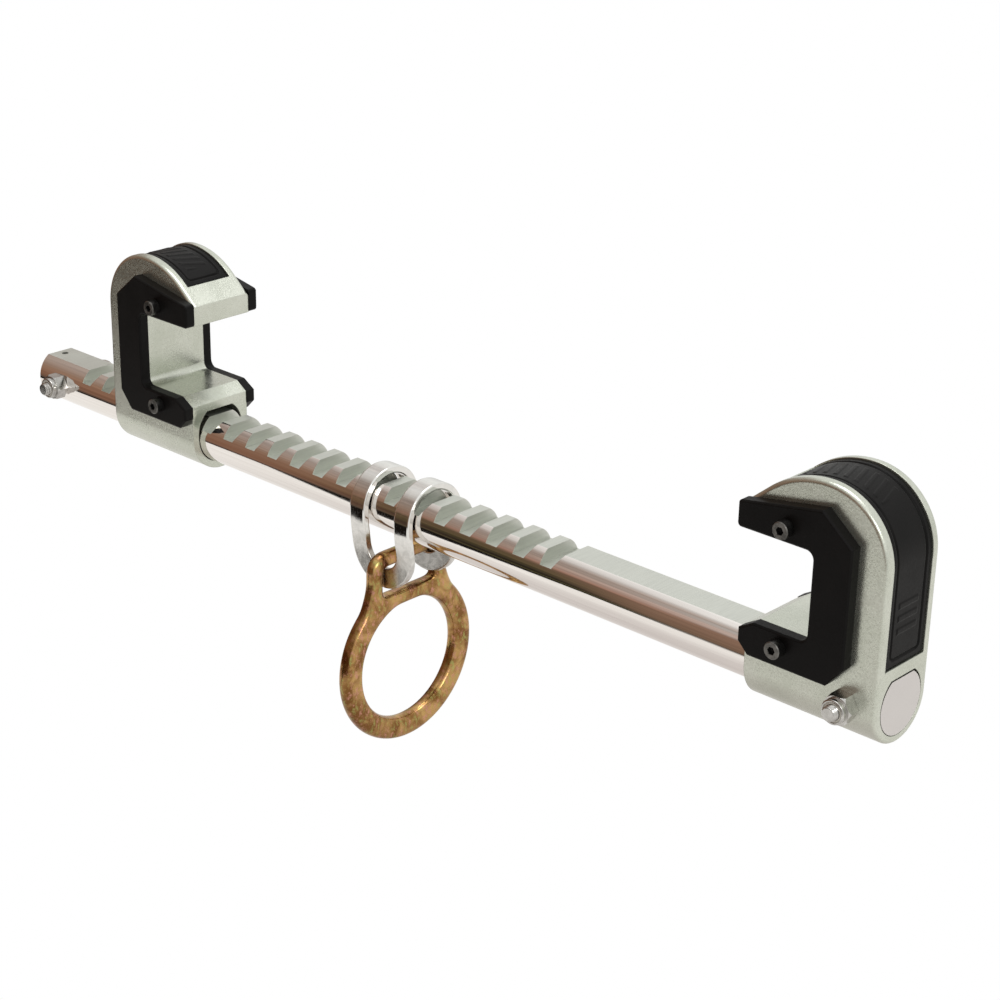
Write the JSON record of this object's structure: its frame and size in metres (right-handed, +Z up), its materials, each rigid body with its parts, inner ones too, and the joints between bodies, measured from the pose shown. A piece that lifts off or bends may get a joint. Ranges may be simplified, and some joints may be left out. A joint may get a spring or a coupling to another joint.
{
  "type": "beam clamp",
  "caption": "Sliding beam clamp: a notched bar with a fixed and a ratcheting C-shaped jaw that grip a beam's lower flange, and a folded link that carries a hanging anchor ring.",
  "frame": {"origin": "on the fixed jaw's flange seat, the underside of its upper arm, which rests on the beam's lower flange; 14 mm in from the lower arm's nose, on the bar's middle plane", "axes": "+X along the bar from the sliding jaw to the fixed jaw's end; +Z up; -Y towards the side with the nuts"},
  "size_m": [0.5028, 0.0784, 0.1942],
  "materials": {
    "bar": "polished round side, satin flat and notches",
    "casting": "satin cast",
    "pad": "satin",
    "pad_screw": "black oxide",
    "inlay": "matte moulded",
    "bolt": "bright zinc plated",
    "nut_ring": "nylon",
    "pawl": "machined",
    "spring": "bright wire",
    "catch": "satin cast",
    "link": "polished",
    "ring": "yellow zinc plated forging"
  },
  "bodies": {
    "rail": {"rail_bar": "bar", "fixed_jaw": "casting", "fixed_jaw_front_pad": "pad", "fixed_jaw_front_screws": "pad_screw", "fixed_jaw_rear_pad": "pad", "fixed_jaw_rear_screws": "pad_screw", "fixed_jaw_inlay": "inlay", "fixed_jaw_bolt": "bolt", "fixed_jaw_nut": "bolt", "fixed_jaw_nut_insert": "nut_ring", "end_stop_bolt": "bolt", "end_stop_nut": "bolt", "end_stop_nut_insert": "nut_ring"},
    "jaw": {"sliding_jaw": "casting", "sliding_jaw_front_pad": "pad", "sliding_jaw_front_screws": "pad_screw", "sliding_jaw_rear_pad": "pad", "sliding_jaw_rear_screws": "pad_screw", "sliding_jaw_inlay": "inlay", "pawl_spring": "spring"},
    "pawl": {"ratchet_pawl": "pawl", "thumb_catch": "catch", "catch_screw": "bolt"},
    "link": {"saddle_link": "link"},
    "ring": {"anchor_ring": "ring"}
  },
  "joints": [
    {"name": "jaw_slide", "type": "slide", "parent": "rail", "child": "jaw", "axis": [1, 0, 0], "range_m": [0, 0.09066]},
    {"name": "pawl_lift", "type": "slide", "parent": "jaw", "child": "pawl", "axis": [0, 0, 1], "range_m": [0, 0.0059], "stiffness_N_per_m": 300, "springref_m": -0.004, "deforming": ["pawl_spring"]},
    {"name": "link_slide", "type": "slide", "parent": "rail", "child": "link", "axis": [1, 0, 0], "range_m": [-0.012, 0.17]},
    {"name": "ring_swing", "type": "hinge", "parent": "link", "child": "ring", "pos_m": [-0.2104, 0, -0.0775], "axis": [0, 1, 0], "range_deg": [-75, 75]}
  ]
}
